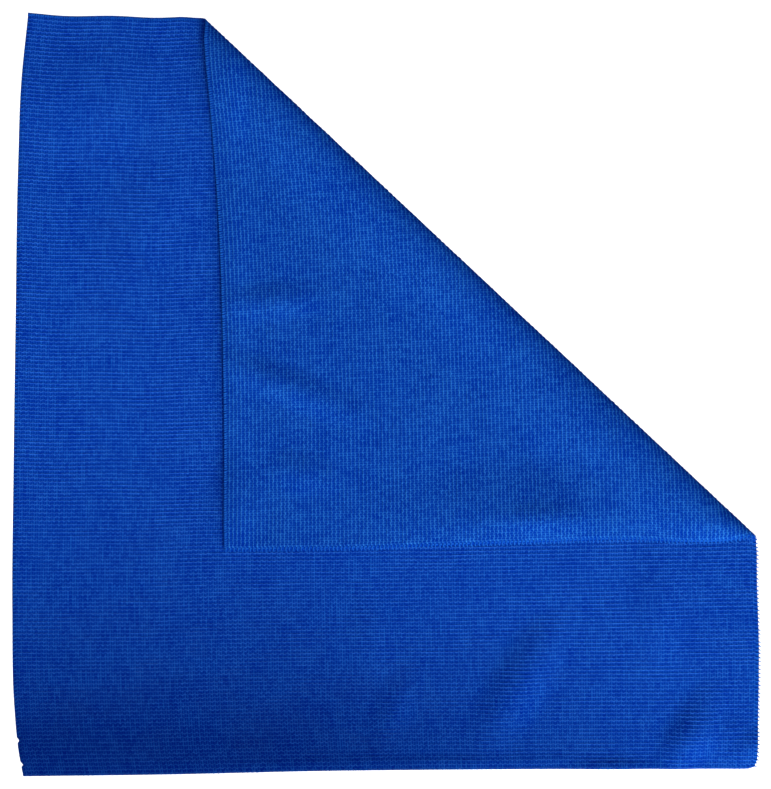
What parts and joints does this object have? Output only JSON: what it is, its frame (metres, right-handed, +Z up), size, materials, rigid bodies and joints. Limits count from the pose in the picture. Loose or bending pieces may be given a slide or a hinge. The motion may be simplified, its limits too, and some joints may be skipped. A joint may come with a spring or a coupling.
{
  "type": "microfibre cloth",
  "caption": "Square knitted microfibre cleaning cloth lying flat, with a corner folded back diagonally over it.",
  "frame": {"origin": "middle of the folded cloth's outline, on the surface that it lies on", "axes": "+X along the knitted rows of the lower layer, +Y across them towards the side whose corner is folded over, +Z up from the surface"},
  "size_m": [0.4013, 0.4104, 0.0099],
  "materials": {
    "knit": "matt royal blue knit with fine ribs along the rows, overlocked edges in the same yarn"
  },
  "bodies": {
    "root": {"cloth": "knit"}
  },
  "joints": []
}
